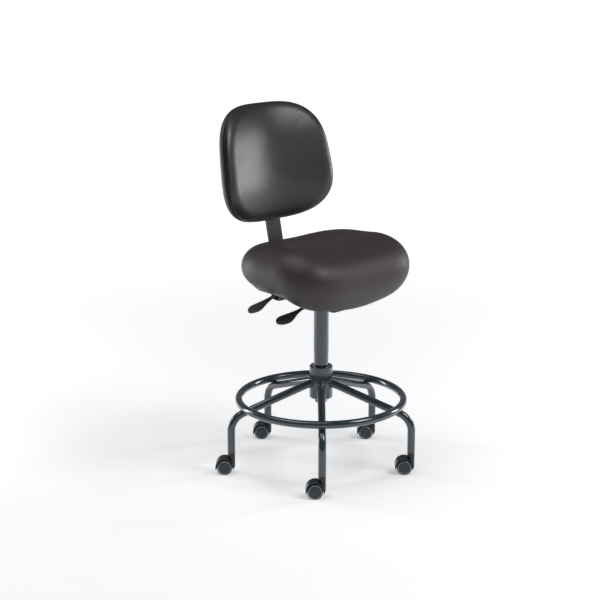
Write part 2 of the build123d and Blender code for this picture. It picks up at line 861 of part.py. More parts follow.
def make_height_carrier():
    """Sleeve that grips the upright, with two pads against the back board."""
    sleeve_low_z = 936
    sleeve_h = 72
    pad_x = 42
    board_zone = wrapped_slab(0, 60, BOARD_REAR)
    with BuildPart() as height_carrier:
        with BuildSketch(bar_plane(sleeve_low_z)):
            RectangleRounded(BAR_W + 16, BAR_T + 8, 2)
        extrude(amount=sleeve_h)
        with BuildSketch(BACK_FACE.offset(-BOARD_REAR - 4)):
            with Locations((-pad_x, -8), (pad_x, -8)):
                Rectangle(16, 80)
        extrude(amount=30)
        add(board_zone, mode=Mode.SUBTRACT)
        with BuildSketch(bar_plane(sleeve_low_z - 6)):
            Rectangle(BAR_W + 2 * RUNNING, BAR_T + 2 * RUNNING)
        extrude(amount=2 * sleeve_h, mode=Mode.SUBTRACT)
    save(height_carrier, "height_carrier")


def make_back_board():
    slab = wrapped_slab(34, BOARD_FRONT, BOARD_REAR)
    with BuildPart() as back_board:
        add(slab)
    save(back_board, "back_board")


def make_back_screws():
    """Four screws through the carrier's pads into the back board."""
    with BuildPart() as back_screws:
        with BuildSketch(BACK_FACE.offset(-BOARD_REAR - 6.5)):
            with Locations((-44, -40), (44, -40), (-44, 24), (44, 24)):
                Circle(4.5)
        extrude(amount=2.5)
    save(back_screws, "back_screws")


def make_back_cushion():
    slab = wrapped_slab(0, CUSHION_FRONT, BOARD_FRONT)
    with BuildPart() as back_cushion:
        add(slab)
    save(back_cushion, "back_cushion")


def make_back_trim():
    """Band around the edge, between the cushion and the shell, open where the upright passes."""
    band_front = BOARD_FRONT - 0.3
    band_rear = SHELL_FRONT + 0.3
    band = wrapped_slab(3, band_front, band_rear)
    opening = wrapped_slab(14, band_front + 5, band_rear - 5)
    slot = bar_slot(BAR_W / 2 + 5, 30, -30, -BACK_H, 0)
    with BuildPart() as back_trim:
        add(band)
        add(opening, mode=Mode.SUBTRACT)
        add(slot, mode=Mode.SUBTRACT)
    save(back_trim, "back_trim")


def make_back_shell():
    """Moulded tray behind the upright, with a slot in its lower edge."""
    tray = wrapped_slab(0, SHELL_FRONT, SHELL_REAR)
    hollow = wrapped_slab(SHELL_WALL, SHELL_FRONT + 5, SHELL_REAR + SHELL_WALL)
    slot = bar_slot(BAR_W / 2 + 4, 20, -12, -BACK_H, 0)
    with BuildPart() as back_shell:
        add(tray)
        add(hollow, mode=Mode.SUBTRACT)
        add(slot, mode=Mode.SUBTRACT)
    save(back_shell, "back_shell")


# ---------------------------------------------------------------- casters
def caster_frame(index):
    """Plane at a caster's stem: x runs back toward the wheels, y along the axle, z up."""
    stem = polar(LEG_SPLAY_R, LEG_ANGLES[index - 1])
    trail = polar(1, CASTER_TRAIL_DEG)
    return Plane(origin=(stem.X, stem.Y, 0), x_dir=(trail.X, trail.Y, 0), z_dir=(0, 0, 1))


def axle_plane(index, offset):
    """Plane across the axle at a distance from the caster's middle; x back, y up."""
    frame = caster_frame(index)
    centre = frame.origin + frame.x_dir * CASTER_TRAIL + Vector(0, 0, WHEEL_R)
    side = frame.y_dir
    return Plane(origin=centre - side * offset, x_dir=frame.x_dir, z_dir=side * -1)


def make_caster_hood(index):
    """Fender over both wheels with a web between them and a boss for the stem."""
    reach = HOOD_R + 4
    with BuildPart() as hood:
        with BuildSketch(axle_plane(index, 0)):
            Circle(HOOD_R)
            with Locations((0, -reach)):
                Rectangle(3 * HOOD_R, 2 * reach - 16, mode=Mode.SUBTRACT)
        extrude(amount=HOOD_HALF_WIDTH, both=True)
        with BuildSketch(caster_frame(index).offset(WHEEL_R - 4)):
            Circle(12)
        extrude(amount=LEG_END_Z - 2 - WHEEL_R + 4)
        for side in (-1, 1):
            with BuildSketch(axle_plane(index, side * (WHEEL_IN - 1))):
                Circle(HOOD_R - HOOD_WALL)
            extrude(amount=side * 40, mode=Mode.SUBTRACT)
        with BuildSketch(axle_plane(index, 0)):
            Circle(9)
        extrude(amount=WHEEL_IN - 1, both=True)
        with BuildSketch(axle_plane(index, 0)):
            Circle(AXLE_R)
        extrude(amount=20, both=True, mode=Mode.SUBTRACT)
        with BuildSketch(caster_frame(index).offset(48)):
            Circle(STEM_R)
        extrude(amount=40, mode=Mode.SUBTRACT)
    save(hood, f"caster_hood_{index}")


def make_caster_pins(index):
    """Steel stem and axle of one caster."""
    with BuildPart() as pins:
        with BuildSketch(caster_frame(index).offset(48)):
            Circle(STEM_R)
        extrude(amount=50)
        chamfer(pins.edges().sort_by(Axis.Z)[-1], 1.2)
        with BuildSketch(axle_plane(index, 0)):
            Circle(AXLE_R)
        extrude(amount=WHEEL_OUT - 2.6, both=True)
    save(pins, f"caster_pins_{index}")


def make_wheel(index, side, letter):
    """Solid wheel with rounded edges and a fine groove round its cap."""
    width = WHEEL_OUT - WHEEL_IN
    groove_r = WHEEL_R - 4
    groove_w = 1.2
    with BuildPart() as wheel:
        with BuildSketch(axle_plane(index, side * WHEEL_IN)):
            Circle(WHEEL_R)
        extrude(amount=side * width)
        fillet(wheel.edges().filter_by(GeomType.CIRCLE), 2.2)
        with BuildSketch(axle_plane(index, side * WHEEL_OUT)):
            Circle(groove_r)
            Circle(groove_r - groove_w, mode=Mode.SUBTRACT)
        extrude(amount=-side * groove_w, mode=Mode.SUBTRACT)
        with BuildSketch(axle_plane(index, side * (WHEEL_IN - 1))):
            Circle(AXLE_R + RUNNING)
        extrude(amount=side * (width - 1), mode=Mode.SUBTRACT)
    save(wheel, f"wheel_{index}{letter}")


if __name__ == "__main__":
    make_hub()
    for number, leg_deg in enumerate(LEG_ANGLES, start=1):
        make_leg(number, leg_deg)
    make_foot_ring()
    make_caster_sockets()
    make_column_tube()
    make_guide_bushing()
    make_thrust_bearing()
    make_piston_rod()
    make_retaining_clip()
    make_gas_cylinder()
    make_valve_button()
    make_control_frame()
    make_taper_socket()
    make_control_shafts()
    make_tilt_springs()
    make_clamp_plates()
    make_height_lever()
    make_tilt_lever()
    make_seat_plate()
    make_lock_plates()
    make_back_shaft()
    make_control_cover()
    make_seat_board()
    make_seat_cushion()
    make_seat_bolts()
    make_back_bracket()
    make_back_upright()
    make_bracket_bolts()
    make_height_carrier()
    make_back_board()
    make_back_screws()
    make_back_cushion()
    make_back_trim()
    make_back_shell()
    for number in range(1, LEG_COUNT + 1):
        make_caster_hood(number)
        make_caster_pins(number)
        make_wheel(number, 1, "a")
        make_wheel(number, -1, "b")
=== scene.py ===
import json
import math

import bmesh
import bpy
import numpy as np
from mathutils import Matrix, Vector


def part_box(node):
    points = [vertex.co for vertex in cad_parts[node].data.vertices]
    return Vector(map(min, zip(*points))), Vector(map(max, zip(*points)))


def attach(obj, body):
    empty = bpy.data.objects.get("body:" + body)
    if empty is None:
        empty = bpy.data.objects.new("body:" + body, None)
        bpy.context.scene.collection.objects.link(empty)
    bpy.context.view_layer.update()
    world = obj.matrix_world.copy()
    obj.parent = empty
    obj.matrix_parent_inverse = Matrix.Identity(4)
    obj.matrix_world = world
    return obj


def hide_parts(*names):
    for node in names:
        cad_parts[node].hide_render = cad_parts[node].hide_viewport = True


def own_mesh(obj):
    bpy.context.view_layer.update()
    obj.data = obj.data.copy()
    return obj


# Drafting chair, metres, same frame as the CAD: floor at z = 0 under the column, chair facing -Y.

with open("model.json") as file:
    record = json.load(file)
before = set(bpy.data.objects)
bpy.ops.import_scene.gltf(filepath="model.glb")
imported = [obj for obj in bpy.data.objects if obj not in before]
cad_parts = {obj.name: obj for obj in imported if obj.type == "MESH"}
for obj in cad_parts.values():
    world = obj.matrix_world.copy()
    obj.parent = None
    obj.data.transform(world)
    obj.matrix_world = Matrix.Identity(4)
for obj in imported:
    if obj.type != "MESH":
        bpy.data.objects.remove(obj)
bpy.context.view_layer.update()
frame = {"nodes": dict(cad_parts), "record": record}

# ---------------------------------------------------------------- driving values
VIEW_AZIMUTH = math.radians(-44.0)
VIEW_PITCH = math.radians(14.463)
VIEW_DISTANCE = 4.9135
VIEW_AIM_RIGHT = -0.0697
VIEW_AIM_Z = 0.563
VIEW_LENS = 90.29

# seat cover: outline of its core, height of its middle sheet, rounding, dish and nose
SEAT_LOW, SEAT_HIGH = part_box("seat_cushion")
SEAT_PROUD = 0.004
SEAT_POWER_REAR = 4.4
SEAT_POWER_FRONT = 7.4
SEAT_TAPER = 0.04
SEAT_EDGE = 0.080
SEAT_MID_Z = 0.686
SEAT_HALF_REAR = 0.068
SEAT_HALF_FRONT = 0.084
SEAT_DROP = 0.093
SEAT_SIDE_RISE = 0.011
SEAT_UNDER_Z = 0.6085
NOSE_SAG = 0.016
NOSE_W = 0.15
NOSE_START = 0.08
NOSE_FULL = 0.17
DISH_DEPTH = 0.003
DISH_W = 0.17
DISH_D = 0.12
DISH_Y = 0.02
SEAT_FLAT = 0.62
SEAT_CELLS = 76
SEAT_CAP = 0.003
BOARD_EDGE_X = 0.215
BOARD_EDGE_Y = -0.128
BOARD_FADE = 0.03

# tilt springs and the staples under the seat
SPRING_R = 0.011
SPRING_WIRE_R = 0.0015
SPRING_TURNS = 6
STAPLE_COUNT = 48
STAPLE_LENGTH = 0.010
STAPLE_LEG = 0.0012
STAPLE_WIRE = 0.0006
STAPLE_THICKNESS = 0.0005
STAPLE_HALF_W = 0.0007
STAPLE_SINK = 0.0003
STAPLE_ROW_POWER = 5.0
STAPLE_INSET = 0.012

# backrest: outline, wrap and lean, then offsets from its middle surface toward the sitter
BACK_CENTRE = Vector((0, 0.264, 0.9896))
BACK_W = 0.468
BACK_H = 0.389
BACK_POWER = 3.34
BACK_TAPER = 0.09
BACK_LEAN = math.radians(9.1)
BACK_WRAP_R = 0.422
BACK_ROUND = 0.024
BACK_FLAT = 0.8
BACK_CELLS = 72
BACK_CAP = 0.002
CUSHION_EDGE = 0.0085
CUSHION_ROUND = 0.034
CUSHION_RIM = 0.0165
CUSHION_REAR = 0.0125
CUSHION_LAP = 0.0095
CUSHION_CROWN = 0.021
LUMBAR_BULGE = 0.006
LUMBAR_W = 0.16
LUMBAR_H = 0.08
LUMBAR_V = -0.06
SHELL_WALL = 0.0035
SHELL_RIM = -0.0035
SHELL_DEPTH = 0.0235
SHELL_CROWN = 0.005
SHELL_ROUND = 0.02
SHELL_FLAT = 0.7
DIP_DEPTH = 0.0095
DIP_HALF_W = 0.046
DIP_FADE = 0.014
WELT_R = 0.0048
WELT_INSET = 0.0055
WELT_OFFSET = 0.0018
WELT_GAP = 0.2

# cloth pass of both covers
COVER_PRESSURE = 4
COVER_STIFFNESS = 40
COVER_FRAMES = 20
SMOOTH_ROUNDS = 90
PIN_MARGIN = 0.001

# base and casters, sized as in the CAD
LEG_COUNT = 5
TUBE_R = 0.0127
HUB_R = 0.0385
LEG_ROOT_Z = 0.2957
LEG_SLOPE = 0.35
RING_R = 0.273
RING_Z = 0.2273
HUB_WELD_R = 0.0021
RING_WELD_R = 0.0024
WELD_REACH = 0.0075
WELD_RIPPLE = 0.18
WHEEL_HALF_WIDTH = 0.00925


# ---------------------------------------------------------------- camera, floor, light
def link(obj):
    bpy.context.scene.collection.objects.link(obj)
    return obj


def make_camera():
    """Camera at the viewing angle; returns the horizontal directions to its right and ahead of it."""
    right = Vector((math.cos(VIEW_AZIMUTH), math.sin(VIEW_AZIMUTH), 0))
    ahead = Vector((-math.sin(VIEW_AZIMUTH), math.cos(VIEW_AZIMUTH), 0))
    look = ahead * math.cos(VIEW_PITCH) - Vector((0, 0, math.sin(VIEW_PITCH)))
    aim = right * VIEW_AIM_RIGHT + Vector((0, 0, VIEW_AIM_Z))
    data = bpy.data.cameras.new("camera")
    data.lens = VIEW_LENS
    data.sensor_width = 36
    data.clip_end = 200
    camera = link(bpy.data.objects.new("camera", data))
    camera.location = aim - look * VIEW_DISTANCE
    camera.rotation_mode = "QUATERNION"
    camera.rotation_quaternion = look.to_track_quat("-Z", "Y")
    bpy.context.scene.camera = camera
    return right, ahead


def area_light(name, location, size, power, target=(0, 0, 0.6), size_y=None):
    """Rectangular lamp that faces a target point."""
    data = bpy.data.lights.new(name, "AREA")
    data.energy = power
    data.shape = "RECTANGLE"
    data.size = size
    data.size_y = size_y or size
    lamp = link(bpy.data.objects.new(name, data))
    lamp.location = location
    lamp.rotation_mode = "QUATERNION"
    lamp.rotation_quaternion = (Vector(target) - location).to_track_quat("-Z", "Y")


def make_floor():
    """Pale floor with a painted glow, weak near the chair and brightening away from it, so that it fades
    into a white ground.
    """
    mesh = bpy.data.meshes.new("floor")
    reach = 90
    mesh.from_pydata(
        [(-reach, -reach, 0), (reach, -reach, 0), (reach, reach, 0), (-reach, reach, 0)],
        [],
        [(0, 1, 2, 3)],
    )
    floor = link(bpy.data.objects.new("floor", mesh))
    material = bpy.data.materials.new("floor")
    material.use_nodes = True
    shader = material.node_tree.nodes["Principled BSDF"]
    shader.inputs["Base Color"].default_value = (0.86, 0.86, 0.87, 1)
    shader.inputs["Roughness"].default_value = 0.9
    shader.inputs["Specular IOR Level"].default_value = 0.1
    shader.inputs["Emission Color"].default_value = (1, 1, 1, 1)
    place = add_node(material, "ShaderNodeNewGeometry").outputs["Position"]
    distance = add_node(material, "ShaderNodeVectorMath", operation="LENGTH")
    wire(material, place, distance.inputs[0])
    # painted light: the floor glows, less near the chair so that cast shadows stay dark there
    glow = add_node(material, "ShaderNodeMapRange", interpolation_type="SMOOTHSTEP")
    glow.inputs["From Min"].default_value = 0.6
    glow.inputs["From Max"].default_value = 4.5
    glow.inputs["To Min"].default_value = 0.30
    glow.inputs["To Max"].default_value = 0.95
    wire(material, distance.outputs["Value"], glow.inputs["Value"])
    wire(material, glow.outputs["Result"], shader.inputs["Emission Strength"])
    mesh.materials.append(material)


def make_lights(right, ahead):
    """Soft studio: overhead, a strip for the backrest's edge, a left fill and a high key."""
    world = bpy.data.worlds.new("studio")
    bpy.context.scene.world = world
    world.use_nodes = True
    world.node_tree.nodes["Background"].inputs["Color"].default_value = (0.92, 0.95, 1, 1)
    world.node_tree.nodes["Background"].inputs["Strength"].default_value = 0.16

    up = Vector((0, 0, 1))
    area_light("top_light", up * 3.1 - right * 0.8 - ahead * 0.2, 2.2, 34)
    area_light(
        "strip_light", right * 2.3 + ahead * 0.95 + up * 1.1, 0.36, 17, size_y=0.8, target=(0, 0.2, 0.95),
    )
    area_light("left_light", right * -2.4 + ahead * 0.9 + up * 0.8, 0.4, 20, size_y=1.6)
    area_light("key_light", right * 2.0 - ahead * 0.9 + up * 2.7, 1.1, 40)
    bpy.context.scene.view_settings.view_transform = "Standard"


# ---------------------------------------------------------------- materials
def node_material(name, color, roughness, metallic=0.0, coat=0.0, coat_roughness=0.1, specular=0.5):
    """Principled material with its constants set; returns it with its shader node."""
    material = bpy.data.materials.new(name)
    material.use_nodes = True
    shader = material.node_tree.nodes["Principled BSDF"]
    shader.inputs["Base Color"].default_value = (*color, 1)
    shader.inputs["Roughness"].default_value = roughness
    shader.inputs["Metallic"].default_value = metallic
    shader.inputs["Coat Weight"].default_value = coat
    shader.inputs["Coat Roughness"].default_value = coat_roughness
    shader.inputs["Specular IOR Level"].default_value = specular
    return material, shader


def add_node(material, kind, **values):
    node = material.node_tree.nodes.new(kind)
    for key, value in values.items():
        setattr(node, key, value)
    return node


def wire(material, out, into):
    material.node_tree.links.new(out, into)


def object_coords(material, stretch=(1, 1, 1)):
    coords = add_node(material, "ShaderNodeTexCoord")
    mapping = add_node(material, "ShaderNodeMapping")
    mapping.inputs["Scale"].default_value = stretch
    wire(material, coords.outputs["Object"], mapping.inputs["Vector"])
    return mapping.outputs["Vector"]


def noise(material, vector, scale, detail=4, roughness=0.55):
    node = add_node(material, "ShaderNodeTexNoise")
    node.inputs["Scale"].default_value = scale
    node.inputs["Detail"].default_value = detail
    node.inputs["Roughness"].default_value = roughness
    wire(material, vector, node.inputs["Vector"])
    return node.outputs["Fac"]


def vary_color(material, shader, fac, dark, light):
    ramp = add_node(material, "ShaderNodeValToRGB")
    ramp.color_ramp.elements[0].position = 0.3
    ramp.color_ramp.elements[0].color = (*dark, 1)
    ramp.color_ramp.elements[1].position = 0.72
    ramp.color_ramp.elements[1].color = (*light, 1)
    wire(material, fac, ramp.inputs["Fac"])
    wire(material, ramp.outputs["Color"], shader.inputs["Base Color"])


def vary_roughness(material, shader, fac, low, high):
    spread = add_node(material, "ShaderNodeMapRange")
    spread.inputs["From Min"].default_value = 0.3
    spread.inputs["From Max"].default_value = 0.7
    spread.inputs["To Min"].default_value = low
    spread.inputs["To Max"].default_value = high
    wire(material, fac, spread.inputs["Value"])
    wire(material, spread.outputs["Result"], shader.inputs["Roughness"])


def add_bump(material, shader, height, strength, distance, below=None):
    bump = add_node(material, "ShaderNodeBump")
    bump.inputs["Strength"].default_value = strength
    bump.inputs["Distance"].default_value = distance
    wire(material, height, bump.inputs["Height"])
    if below is not None:
        wire(material, below, bump.inputs["Normal"])
    wire(material, bump.outputs["Normal"], shader.inputs["Normal"])
    return bump.outputs["Normal"]


def lighter(color, factor):
    return tuple(min(1.0, c * factor) for c in color)


def vinyl(name, color, roughness):
    """Upholstery vinyl: fine pebble grain, soft sheen variation, faint large mottling."""
    material, shader = node_material(name, color, roughness)
    place = object_coords(material)
    cells = add_node(material, "ShaderNodeTexVoronoi", feature="SMOOTH_F1")
    cells.inputs["Scale"].default_value = 620
    cells.inputs["Smoothness"].default_value = 0.7
    wire(material, place, cells.inputs["Vector"])
    mottle = noise(material, place, 9, detail=6)
    vary_color(material, shader, mottle, lighter(color, 0.95), lighter(color, 1.06))
    vary_roughness(material, shader, noise(material, place, 34), roughness - 0.01, roughness + 0.02)
    broad = add_bump(material, shader, noise(material, place, 46, detail=3), 0.03, 0.0012)
    add_bump(material, shader, cells.outputs["Distance"], 0.28, 0.00035, below=broad)
    return material


def enamel(name, color, roughness, metallic=0.0, coat=0.5):
    """Stoved paint on steel: faint orange peel, slight dust in the roughness."""
    material, shader = node_material(name, color, roughness, metallic, coat, 0.08)
    place = object_coords(material)
    vary_color(material, shader, noise(material, place, 6), lighter(color, 0.9), lighter(color, 1.12))
    vary_roughness(material, shader, noise(material, place, 40), roughness - 0.03, roughness + 0.05)
    add_bump(material, shader, noise(material, place, 300, detail=1), 0.02, 0.0002)
    return material


def powder_coat(name, color, roughness):
    """Satin powder coat with its fine pebbled surface."""
    material, shader = node_material(name, color, roughness, specular=0.4)
    place = object_coords(material)
    vary_color(material, shader, noise(material, place, 22), lighter(color, 0.8), lighter(color, 1.25))
    vary_roughness(material, shader, noise(material, place, 90), roughness - 0.06, roughness + 0.08)
    add_bump(material, shader, noise(material, place, 900, detail=2), 0.22, 0.0003)
    return material


def plated_steel(name, color, roughness):
    """Zinc plated steel with fine drawn lines and a little staining."""
    material, shader = node_material(name, color, roughness, metallic=1.0)
    place = object_coords(material, (1, 1, 14))
    vary_color(material, shader, noise(material, place, 26), lighter(color, 0.75), lighter(color, 1.2))
    vary_roughness(material, shader, noise(material, place, 120), roughness - 0.08, roughness + 0.12)
    add_bump(material, shader, noise(material, place, 500, detail=3), 0.12, 0.0002)
    return material


def moulded(name, color, roughness, grain=700, strength=0.2):
    """Injection moulded plastic: spark-eroded texture and scuffs in the gloss."""
    material, shader = node_material(name, color, roughness, specular=0.45)
    place = object_coords(material)
    vary_color(material, shader, noise(material, place, 30), lighter(color, 0.85), lighter(color, 1.2))
    vary_roughness(material, shader, noise(material, place, 70), roughness - 0.06, roughness + 0.1)
    add_bump(material, shader, noise(material, place, grain, detail=2), strength, 0.0003)
    return material


def plywood(name):
    """Birch plywood: long grain and thin glue lines on the edges."""
    material, shader = node_material(name, (0.5, 0.36, 0.2), 0.6)
    grain = noise(material, object_coords(material, (1, 9, 1)), 28, detail=8, roughness=0.65)
    vary_color(material, shader, grain, (0.36, 0.24, 0.13), (0.56, 0.41, 0.25))
    vary_roughness(material, shader, grain, 0.5, 0.72)
    layers = add_node(material, "ShaderNodeTexWave", bands_direction="Z")
    layers.inputs["Scale"].default_value = 190
    wire(material, object_coords(material), layers.inputs["Vector"])
    add_bump(material, shader, layers.outputs["Fac"], 0.3, 0.0004)
    return material


def make_materials():
    """Every material by name; the record's slots come first, then those of added pieces."""
    return {
        "base_metal": enamel("base_metal", (0.021, 0.037, 0.048), 0.17, metallic=0.2, coat=1.0),
        "cylinder_paint": enamel("cylinder_paint", (0.01, 0.01, 0.012), 0.2),
        "upright_paint": powder_coat("upright_paint", (0.018, 0.018, 0.017), 0.42),
        "black_steel": powder_coat("black_steel", (0.014, 0.014, 0.014), 0.45),
        "bright_steel": plated_steel("bright_steel", (0.55, 0.55, 0.56), 0.32),
        "black_plastic": moulded("black_plastic", (0.012, 0.012, 0.012), 0.5),
        # one black plastic in two tones: the front paddle darker as painted shade from the seat above it,
        # the rear paddle lighter as painted light on its lit top
        "front_paddle_plastic": moulded("front_paddle_plastic", (0.004, 0.004, 0.004), 0.55),
        "rear_paddle_plastic": moulded("rear_paddle_plastic", (0.045, 0.046, 0.04), 0.6),
        "hood_plastic": moulded("hood_plastic", (0.010, 0.014, 0.017), 0.24, strength=0.06),
        "wheel_plastic": moulded("wheel_plastic", (0.022, 0.034, 0.042), 0.3, strength=0.1),
        # near-black trim: partly the rubber's own colour, partly painted shade for the shadowed gap round
        # the backrest
        "trim_rubber": moulded("trim_rubber", (0.004, 0.004, 0.004), 0.5, grain=350),
        "plywood": plywood("plywood"),
        "seat_vinyl": vinyl("seat_vinyl", (0.025, 0.0168, 0.016), 0.5),
        "back_vinyl": vinyl("back_vinyl", (0.014, 0.014, 0.0142), 0.34),
        "shell_plastic": moulded(
            "shell_plastic", (0.035, 0.035, 0.035), 0.42, grain=520, strength=0.25,
        ),
        "weld": enamel("weld", (0.045, 0.06, 0.075), 0.4, metallic=0.4, coat=0.3),
        # painted highlight: bright steel ring that stands for the glint on each wheel's rim
        "painted_highlight_ring": plated_steel("painted_highlight_ring", (0.42, 0.45, 0.47), 0.3),
    }


def dress_cad_nodes(materials):
    """Give each carried-over CAD node the material of its slot."""
    for entry in frame["record"]["subparts"]:
        node = frame["nodes"][entry["node"]]
        node.data.materials.clear()
        node.data.materials.append(materials[entry["material_slot"]])


# ---------------------------------------------------------------- mesh helpers
def shell_grid(cells, place):
    """Closed quad mesh from two square grids, front (side 1) and rear (side -1), joined at the rim."""
    index = {}
    points = []
    faces = []
    steps = np.linspace(-1, 1, cells + 1)
    for side in (1, -1):
        for i, p in enumerate(steps):
            for j, q in enumerate(steps):
                rim = i in (0, cells) or j in (0, cells)
                key = (i, j, 0 if rim else side)
                if key in index:
                    continue
                index[key] = len(points)
                points.append(place(p, q, side))
    for side in (1, -1):
        for i in range(cells):
            for j in range(cells):
                ring = []
                for a, b in ((i, j), (i + 1, j), (i + 1, j + 1), (i, j + 1)):
                    rim = a in (0, cells) or b in (0, cells)
                    ring.append(index[(a, b, 0 if rim else side)])
                faces.append(ring if side == 1 else ring[::-1])
    return points, faces


def mesh_object(name, points, faces, material):
    """Smooth-shaded object from points and faces, its faces turned outward."""
    mesh = bpy.data.meshes.new(name)
    mesh.from_pydata([tuple(p) for p in points], [], faces)
    mesh.validate()
    tidy = bmesh.new()
    tidy.from_mesh(mesh)
    bmesh.ops.recalc_face_normals(tidy, faces=tidy.faces)
    tidy.to_mesh(mesh)
    tidy.free()
    mesh.shade_smooth()
    mesh.materials.append(material)
    return link(bpy.data.objects.new(name, mesh))


def tube(name, path, radius, material, closed=False, sides=12, ripple=0.0, waves=0):
    """Round tube mesh along a list of points; ripple swells it in waves, as a weld bead's drops do."""
    off_axis = Vector((0, -1, 0.16))
    points = []
    faces = []
    count = len(path)
    for number, point in enumerate(path):
        ahead = path[(number + 1) % count] if closed or number < count - 1 else point
        behind = path[number - 1] if closed or number > 0 else point
        tangent = (ahead - behind).normalized()
        side = tangent.cross(off_axis).normalized()
        lift = side.cross(tangent)
        swell = radius * (1 + ripple * math.sin(2 * math.pi * waves * number / count))
        for step in range(sides):
            a = 2 * math.pi * step / sides
            points.append(point + (side * math.cos(a) + lift * math.sin(a)) * swell)
    last = count if closed else count - 1
    for number in range(last):
        a = number * sides
        b = ((number + 1) % count) * sides
        for step in range(sides):
            after = (step + 1) % sides
            faces.append([a + step, a + after, b + after, b + step])
    if not closed:
        faces.append(list(range(sides)))
        faces.append(list(range((count - 1) * sides, count * sides)))
    return mesh_object(name, points, faces, material)


def lathe(name, profile, centre, axis, material, hollow, spokes=48):
    """Revolve (radius, height) points about an axis; hollow makes a ring, otherwise flat ends close it."""
    side = axis.cross(Vector((0, 0, 1))).normalized()
    lift = axis.cross(side)
    points = []
    faces = []
    for radius, height in profile:
        for spoke in range(spokes):
            a = 2 * math.pi * spoke / spokes
            points.append(centre + axis * height + (side * math.cos(a) + lift * math.sin(a)) * radius)
    count = len(profile)
    for ring in range(count if hollow else count - 1):
        for spoke in range(spokes):
            after = (spoke + 1) % spokes
            a = ring * spokes
            b = (ring + 1) % count * spokes
            faces.append([a + spoke, a + after, b + after, b + spoke])
    if not hollow:
        faces.append(list(range(spokes)))
        faces.append([(count - 1) * spokes + spoke for spoke in range(spokes)][::-1])
    return mesh_object(name, points, faces, material)


def smoothstep(value, low, high):
    t = min(1.0, max(0.0, (value - low) / (high - low)))
    return t * t * (3 - 2 * t)


def outline_radius(angle, power):
    """Distance from the centre to a unit superellipse in a direction."""
    c = abs(math.cos(angle)) ** power
    s = abs(math.sin(angle)) ** power
    return (c + s) ** (-1 / power)


def disc_point(p, q):
    """Square to disc, so that a square grid's rim is the outline and its cells stay even."""
    return p * math.sqrt(1 - q * q / 2), q * math.sqrt(1 - p * p / 2)


def subdivide(obj):
    modifier = obj.modifiers.new("round", "SUBSURF")
    modifier.levels = 1
    modifier.render_levels = 1


def coordinates(mesh):
    values = np.empty(len(mesh.vertices) * 3)
    mesh.vertices.foreach_get("co", values)
    return values.reshape(-1, 3)


def smooth_field(mesh, field, rounds):
    """Average a per-vertex field over its neighbours, so that a taut cover keeps no creases."""
    edges = np.empty(len(mesh.edges) * 2, dtype=np.int64)
    mesh.edges.foreach_get("vertices", edges)
    one, two = edges.reshape(-1, 2).T
    degree = np.bincount(edges, minlength=len(field))[:, None]
    for _ in range(rounds):
        total = np.zeros_like(field)
        np.add.at(total, one, field[two])
        np.add.at(total, two, field[one])
        field = 0.5 * field + 0.5 * total / np.maximum(degree, 1)
    return field


def inflate(obj, pinned, cap):
    """Press the cover out with air, its pinned points held; no point moves past the cap."""
    group = obj.vertex_groups.new(name="pinned")
    group.add(pinned, 1.0, "REPLACE")
    cloth = obj.modifiers.new("cover", "CLOTH")
    cloth.settings.quality = 3
    cloth.settings.mass = 0.4
    cloth.settings.tension_stiffness = COVER_STIFFNESS
    cloth.settings.compression_stiffness = COVER_STIFFNESS
    cloth.settings.shear_stiffness = COVER_STIFFNESS * 0.4
    cloth.settings.bending_stiffness = 2
    cloth.settings.use_pressure = True
    cloth.settings.uniform_pressure_force = COVER_PRESSURE
    cloth.settings.vertex_group_mass = "pinned"
    cloth.settings.effector_weights.gravity = 0
    cloth.collision_settings.use_collision = False
    before = coordinates(obj.data)
    scene = bpy.context.scene
    for step in range(1, COVER_FRAMES + 1):
        scene.frame_set(step)
    evaluated = obj.evaluated_get(bpy.context.evaluated_depsgraph_get())
    after = coordinates(evaluated.data)
    obj.modifiers.remove(cloth)
    scene.frame_set(1)
    shift = after - before
    length = np.linalg.norm(shift, axis=1, keepdims=True)
    shift *= np.tanh(length / cap) * cap / np.maximum(length, 1e-9)
    shift = smooth_field(obj.data, shift, SMOOTH_ROUNDS)
    obj.data.vertices.foreach_set("co", (before + shift).ravel())
    obj.data.update()


# ---------------------------------------------------------------- seat
def seat_middle(x, y, half_x, half_y):
    """Height of the seat's middle sheet: level behind, dropping at the front, rising at the sides."""
    drop = SEAT_DROP * max(0.0, (-y / half_y - 0.2) / 0.8) ** 2
    return SEAT_MID_Z - drop + SEAT_SIDE_RISE * (x / half_x) ** 2


def seat_base(u, v, half_x, half_y):
    """Point of the middle sheet for a position in the unit disc; its rim is the core's outline."""
    reach = math.hypot(u, v)
    angle = math.atan2(v, u)
    forward = smoothstep(-math.sin(angle), -0.3, 0.3)
    power = SEAT_POWER_REAR + (SEAT_POWER_FRONT - SEAT_POWER_REAR) * forward
    scale = reach * outline_radius(angle, power)
    x = (half_x - SEAT_EDGE) * scale * math.cos(angle)
    y = (half_y - SEAT_EDGE) * scale * math.sin(angle)
    x *= 1 - SEAT_TAPER * y / half_y
    return Vector((x, y, seat_middle(x, y, half_x, half_y)))


